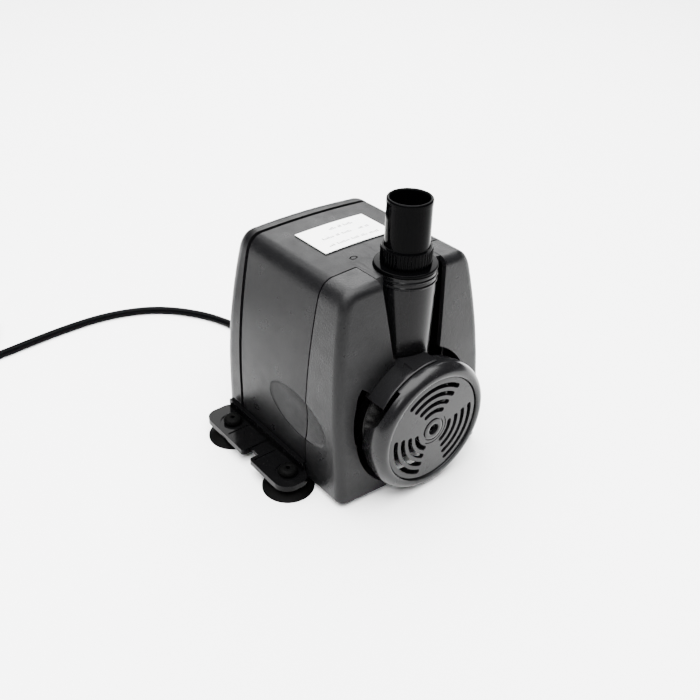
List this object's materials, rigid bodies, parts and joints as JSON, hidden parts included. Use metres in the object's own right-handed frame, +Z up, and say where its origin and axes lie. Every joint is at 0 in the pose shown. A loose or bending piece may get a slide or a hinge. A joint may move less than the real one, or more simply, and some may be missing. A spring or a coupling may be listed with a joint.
{
  "type": "fountain submersible pump",
  "caption": "Submersible fountain pump: barrel-shaped black body, upright outlet nozzle, slotted flow dial in front, suction feet and a rear mains cord.",
  "frame": {"origin": "on the surface under the middle of the pump, cord and plug left out", "axes": "+X to the right seen from the front, the flow dial faces -Y, the outlet points up along +Z"},
  "size_m": [0.2643, 0.3481, 0.1379],
  "materials": {
    "satin_black": "satin black moulded plastic with a fine grain",
    "gloss_black": "glossy black moulded plastic",
    "rubber": "soft black rubber",
    "label": "white printed film",
    "winding": "enamelled copper wire",
    "insulator": "white moulded plastic",
    "impeller_plastic": "white moulded plastic",
    "magnet": "dark sintered ferrite",
    "ceramic": "white polished ceramic",
    "steel": "stacked sheet steel",
    "resin": "dark potting resin",
    "live_sheath": "brown wire insulation",
    "neutral_sheath": "blue wire insulation",
    "cord_sheath": "smooth black cable sheath",
    "plug_plastic": "satin black moulded plug",
    "plated_pin": "nickel plated brass"
  },
  "bodies": {
    "pump_body": {"motor_housing": "satin_black", "rear_cover": "satin_black", "rear_seal": "rubber", "rating_label": "label", "pump_chamber_cover": "satin_black", "chamber_seal": "rubber", "nozzle_seal": "rubber", "rotor_shaft": "ceramic", "front_bushing": "rubber", "rear_bushing": "rubber", "stator_core": "steel", "bobbin_left": "insulator", "bobbin_right": "insulator", "winding_left": "winding", "winding_right": "winding", "potting_slab": "resin", "terminal_live": "insulator", "terminal_neutral": "insulator", "lead_live": "live_sheath", "lead_neutral": "neutral_sheath", "thermal_fuse": "insulator", "foot_left": "gloss_black", "foot_right": "gloss_black", "suction_cup_front_left": "rubber", "suction_cup_front_right": "rubber", "suction_cup_rear_left": "rubber", "suction_cup_rear_right": "rubber", "cord_gland": "rubber", "mains_cord": "cord_sheath", "cord_tail": "cord_sheath", "cord_coil": "cord_sheath", "cord_tie": "rubber", "plug_body": "plug_plastic", "plug_pin_left": "plated_pin", "plug_pin_right": "plated_pin"},
    "casing": {"front_casing": "satin_black", "port_collar": "satin_black"},
    "dial": {"flow_dial": "satin_black", "dial_grille": "satin_black", "dial_pivot": "gloss_black"},
    "nozzle": {"outlet_nozzle": "gloss_black"},
    "rotor": {"impeller": "impeller_plastic", "rotor_sleeve": "impeller_plastic", "rotor_magnet": "magnet"}
  },
  "joints": [
    {"name": "casing_slide", "type": "slide", "parent": "pump_body", "child": "casing", "axis": [0, -1, 0], "range_m": [0, 0.06]},
    {"name": "dial_turn", "type": "hinge", "parent": "casing", "child": "dial", "pos_m": [0, -0.0416, 0.034], "axis": [0, 1, 0], "range_deg": [0, 60]},
    {"name": "nozzle_lift", "type": "slide", "parent": "pump_body", "child": "nozzle", "axis": [0, 0, 1], "range_m": [0, 0.02]},
    {"name": "rotor_spin", "type": "hinge", "parent": "pump_body", "child": "rotor", "pos_m": [0, 0, 0.034], "axis": [0, 1, 0], "continuous": true}
  ]
}
